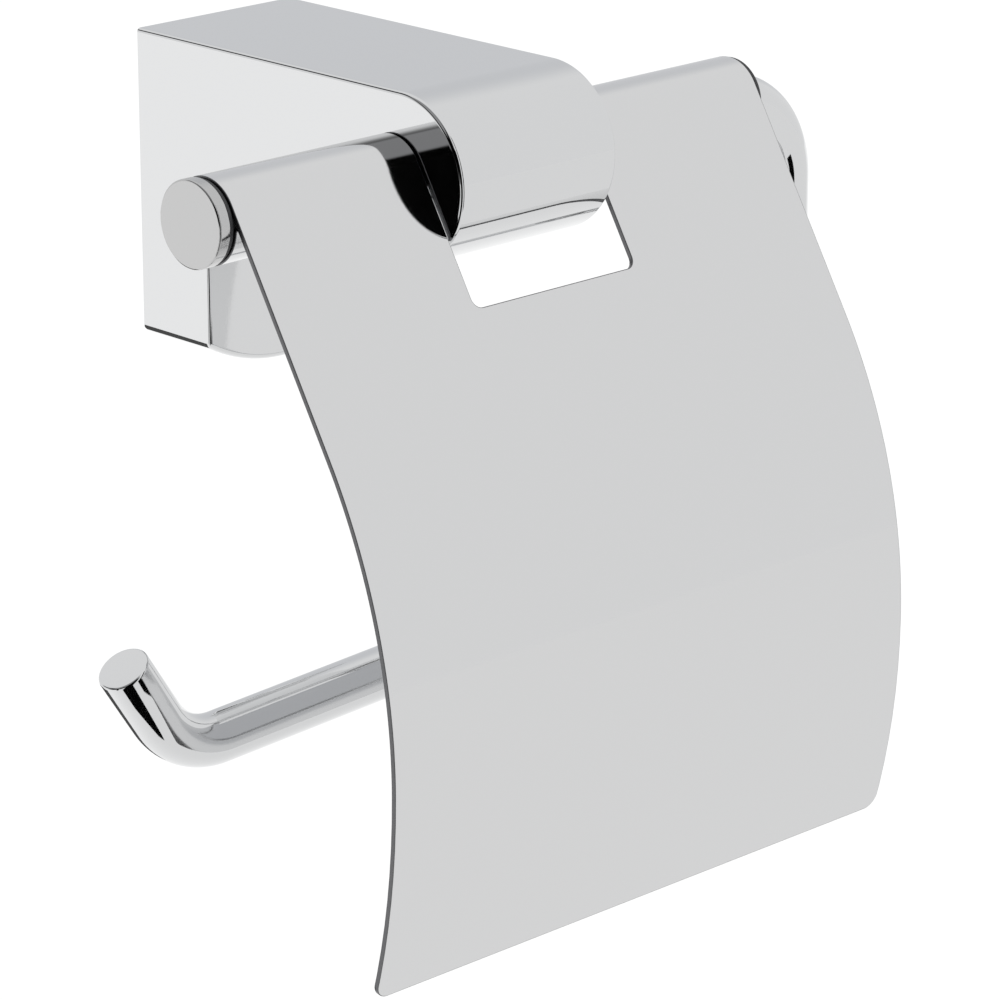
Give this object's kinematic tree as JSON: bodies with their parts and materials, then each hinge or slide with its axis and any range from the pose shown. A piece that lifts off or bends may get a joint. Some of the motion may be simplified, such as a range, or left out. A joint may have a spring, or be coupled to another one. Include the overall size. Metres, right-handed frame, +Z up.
{
  "type": "toilet paper holder",
  "caption": "Wall-mounted toilet paper holder: a chrome post with a rounded arm, a bent rod open at one end, and a bowed sheet cover hinged on the rod.",
  "frame": {"origin": "centre of the wall bracket's back face, on the wall plane, between its two slots", "axes": "+X along the rod towards its closed bend, +Y into the wall, +Z up; the user stands at -Y"},
  "size_m": [0.1823, 0.1206, 0.153],
  "materials": {
    "post_chrome": "polished",
    "rod_chrome": "polished",
    "cover_chrome": "polished sheet",
    "bracket_steel": "zinc plated",
    "screw_steel": "dark steel",
    "bush_plastic": "moulded, satin"
  },
  "bodies": {
    "post": {"wall_bracket": "bracket_steel", "post_body": "post_chrome", "body_grub_screw": "screw_steel", "rod_grub_screw": "screw_steel", "bent_rod": "rod_chrome", "end_cap": "rod_chrome", "spring_washer": "bracket_steel"},
    "cover_flap": {"cover": "cover_chrome", "flanged_bush": "bush_plastic", "bush_left": "bush_plastic", "bush_right": "bush_plastic", "outer_bush_right": "bush_plastic"}
  },
  "joints": [
    {"name": "cover_hinge", "type": "hinge", "parent": "post", "child": "cover_flap", "pos_m": [0, -0.0724, 0.013], "axis": [-1, 0, 0], "range_deg": [-23, 180]}
  ]
}
